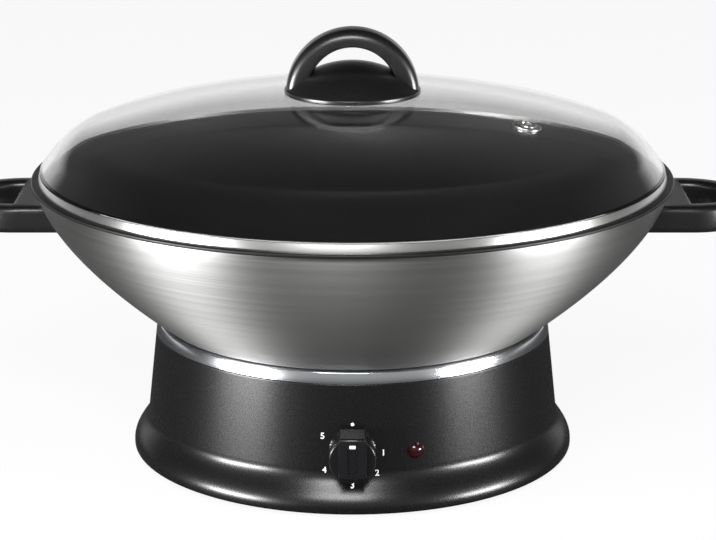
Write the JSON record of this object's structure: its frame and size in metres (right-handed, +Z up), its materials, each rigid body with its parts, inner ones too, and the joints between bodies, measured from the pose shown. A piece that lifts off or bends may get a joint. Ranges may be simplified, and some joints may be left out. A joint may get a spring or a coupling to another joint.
{
  "type": "electric wok",
  "caption": "Electric wok with a black moulded base and dial, a lift-out aluminium bowl with side handles, and a domed glass lid that lifts off.",
  "frame": {"origin": "on the wok's vertical axis, at the surface that its rubber feet stand on", "axes": "+Z up along the axis of base, bowl and lid; -Y towards the front, where the dial is; +X towards the right-hand side handle"},
  "size_m": [0.45, 0.359, 0.2408],
  "materials": {
    "black_plastic": "moulded, soft gloss",
    "dark_plastic": "moulded, matte",
    "rubber": "moulded, matte",
    "chrome": "polished",
    "steel": "polished strip",
    "zinc_steel": "zinc-plated",
    "bowl_aluminium": "satin outside, black non-stick coating inside",
    "cast_aluminium": "cast, face turned",
    "element_steel": "heat-dulled tube",
    "ceramic": "unglazed steatite",
    "cream_plastic": "moulded phenolic",
    "copper": "drawn copper",
    "brass": "turned",
    "red_lens": "clear tinted, polished",
    "brown_wire": "insulated",
    "red_wire": "insulated",
    "blue_wire": "insulated",
    "white_wire": "insulated",
    "green_wire": "insulated",
    "clear_glass": "toughened, polished"
  },
  "bodies": {
    "base": {"base_shell": "black_plastic", "bottom_plate": "dark_plastic", "rubber_feet": "rubber", "base_screws": "zinc_steel", "cord_gland": "dark_plastic", "gland_nut": "dark_plastic", "trim_ring": "chrome", "support_tray": "zinc_steel", "tray_screws": "zinc_steel", "hot_plate": "cast_aluminium", "plate_spacers": "zinc_steel", "plate_screws": "zinc_steel", "heating_element": "element_steel", "terminal_beads": "ceramic", "thermostat_body": "cream_plastic", "thermostat_bracket": "zinc_steel", "thermostat_nut": "brass", "bracket_screws": "zinc_steel", "sensor_tube": "copper", "thermal_fuse": "ceramic", "fuse_clip": "zinc_steel", "terminal_block": "cream_plastic", "block_screws": "zinc_steel", "lamp_lens": "red_lens", "lamp_holder": "cream_plastic", "live_wire": "brown_wire", "heater_wire": "red_wire", "neutral_wire": "blue_wire", "lamp_wires": "white_wire", "earth_wire": "green_wire"},
    "knob": {"control_knob": "black_plastic", "knob_spindle": "zinc_steel"},
    "bowl": {"wok_bowl": "bowl_aluminium", "handle_left": "black_plastic", "handle_right": "black_plastic", "handle_studs": "steel", "handle_screws": "steel"},
    "lid": {"glass_dome": "clear_glass", "lid_band": "steel", "steam_vent": "steel", "lid_knob": "black_plastic", "knob_seal": "rubber", "inner_seal": "rubber", "knob_washer": "steel", "knob_screw": "steel"}
  },
  "joints": [
    {"name": "bowl_lift", "type": "slide", "parent": "base", "child": "bowl", "axis": [0, 0, 1], "range_m": [0, 0.08]},
    {"name": "lid_lift", "type": "slide", "parent": "bowl", "child": "lid", "axis": [0, 0, 1], "range_m": [0, 0.12]},
    {"name": "knob_turn", "type": "hinge", "parent": "base", "child": "knob", "pos_m": [0, -0.1195, 0.0335], "axis": [0, 1, 0], "range_deg": [0, 304]}
  ]
}
